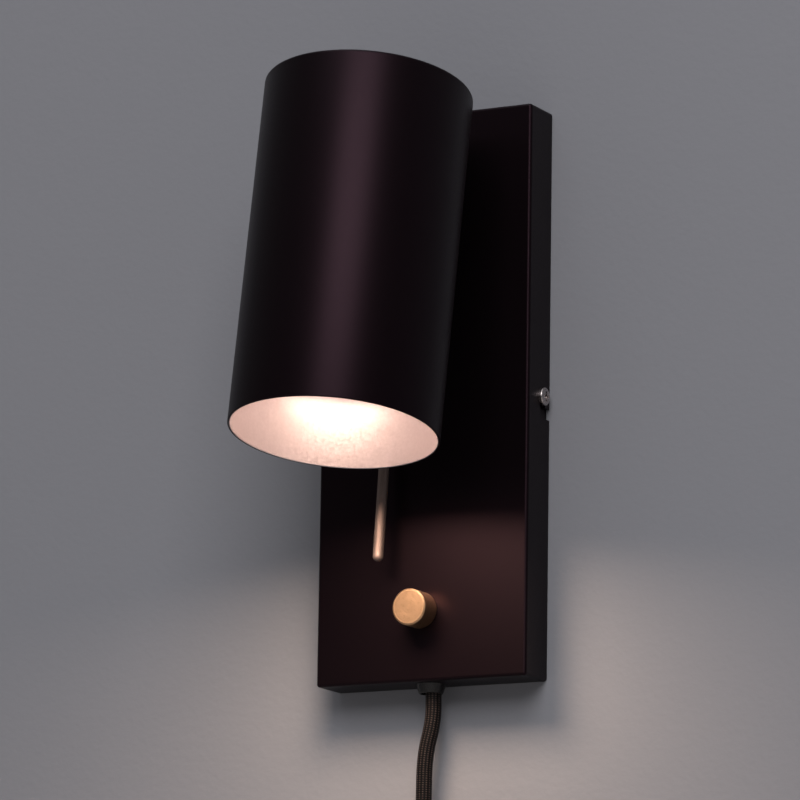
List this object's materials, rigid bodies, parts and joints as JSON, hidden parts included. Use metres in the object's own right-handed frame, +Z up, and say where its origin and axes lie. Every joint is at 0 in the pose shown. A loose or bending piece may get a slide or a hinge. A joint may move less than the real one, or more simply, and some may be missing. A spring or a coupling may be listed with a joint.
{
  "type": "wall reading lamp",
  "caption": "Black bedside wall lamp: cylinder shade on a swivel and tilt hinge over a slim wall box, with a steel rod, brass dimmer knob and braided plug-in cord.",
  "frame": {"origin": "on the wall plane, midway between the two wall-screw holes of the hanger bracket, which is also the middle of the wall box's back", "axes": "+X to the right as seen by a person facing the wall, +Y into the wall, +Z up"},
  "size_m": [0.1029, 0.1281, 0.4006],
  "materials": {
    "black_coat": "matte black powder coat",
    "zinc_steel": "satin zinc plate",
    "nickel_steel": "satin nickel plate",
    "turned_brass": "satin turned brass",
    "brass_terminals": "satin",
    "black_plastic": "matte",
    "white_plastic": "satin",
    "nylon": "satin",
    "lead_sheath": "satin",
    "cord_braid": "matte braided textile over a rubber sheath",
    "ceramic": "satin glazed",
    "bulb_shell": "satin",
    "lens_glass": "frosted"
  },
  "bodies": {
    "base": {"wall_bracket": "black_coat", "ear_nuts": "zinc_steel", "wall_box": "black_coat", "side_screws": "nickel_steel", "cord_gland": "black_plastic", "gland_nut": "black_plastic", "cord_inner": "cord_braid", "terminal_block": "white_plastic", "terminal_screws": "brass_terminals", "terminal_nuts": "zinc_steel", "supply_leads": "lead_sheath", "dimmer_leads": "lead_sheath", "lamp_leads": "lead_sheath", "dimmer_body": "black_plastic", "dimmer_washer": "zinc_steel", "dimmer_nut": "zinc_steel", "cord_lead": "cord_braid", "cord_coil": "cord_braid", "cord_tie": "black_plastic", "plug_body": "black_plastic", "plug_pins": "zinc_steel"},
    "swivel": {"swivel_fork": "black_coat", "swivel_stem": "zinc_steel", "swivel_washer": "nylon", "stem_washer": "zinc_steel", "spring_washer": "zinc_steel", "stem_nut": "zinc_steel", "stop_pin": "zinc_steel", "stem_leads": "lead_sheath", "rod_set_screw": "zinc_steel", "aiming_rod": "nickel_steel"},
    "head": {"shade": "black_coat", "shade_bracket": "black_coat", "bracket_nuts": "zinc_steel", "pivot_screws": "zinc_steel", "friction_washers": "nylon", "lead_bushing": "black_plastic", "holder_bracket": "zinc_steel", "lampholder": "ceramic", "holder_screws": "zinc_steel", "head_leads": "lead_sheath", "bulb_body": "bulb_shell", "bulb_lens": "lens_glass", "bulb_pins": "zinc_steel"},
    "knob": {"dimmer_knob": "turned_brass", "knob_set_screw": "zinc_steel", "dimmer_shaft": "zinc_steel"}
  },
  "joints": [
    {"name": "swivel", "type": "hinge", "parent": "base", "child": "swivel", "pos_m": [0, -0.018, 0.08], "axis": [0, -1, 0], "range_deg": [-90, 90]},
    {"name": "tilt", "type": "hinge", "parent": "swivel", "child": "head", "pos_m": [0, -0.0252, 0.08], "axis": [-1, 0, 0], "range_deg": [-9.7, 22]},
    {"name": "dimmer", "type": "hinge", "parent": "base", "child": "knob", "pos_m": [0, -0.018, -0.0832], "axis": [0, -1, 0], "range_deg": [-135, 135]}
  ]
}
